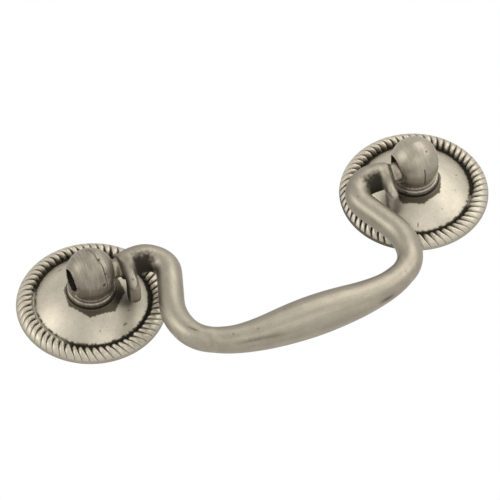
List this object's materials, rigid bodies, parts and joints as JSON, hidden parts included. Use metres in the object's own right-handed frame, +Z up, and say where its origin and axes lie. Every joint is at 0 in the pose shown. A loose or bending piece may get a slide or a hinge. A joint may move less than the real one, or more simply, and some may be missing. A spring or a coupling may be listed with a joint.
{
  "type": "bail pull",
  "caption": "Swinging drawer pull: swan-neck bail with a swollen grip, hung between ball-headed posts on domed rosettes with rope edges.",
  "frame": {"origin": "midway between the two screw axes, on the face of the drawer", "axes": "+X along the pull to the right as seen from the front, +Z up, -Y out of the drawer towards the user"},
  "size_m": [0.1088, 0.0173, 0.0521],
  "materials": {
    "rosette_metal": "brushed antique pewter plating, dark in the grooves",
    "post_metal": "brushed antique pewter plating, dark round the collar",
    "bail_metal": "brushed antique pewter plating, dark inside the arches"
  },
  "bodies": {
    "base": {"rosette_left": "rosette_metal", "rosette_right": "rosette_metal", "post_left": "post_metal", "post_right": "post_metal"},
    "bail": {"bail": "bail_metal"}
  },
  "joints": [
    {"name": "bail_swing", "type": "hinge", "parent": "base", "child": "bail", "pos_m": [0, -0.0105, -0.00085], "axis": [-1, 0, 0], "range_deg": [0, 186]}
  ]
}
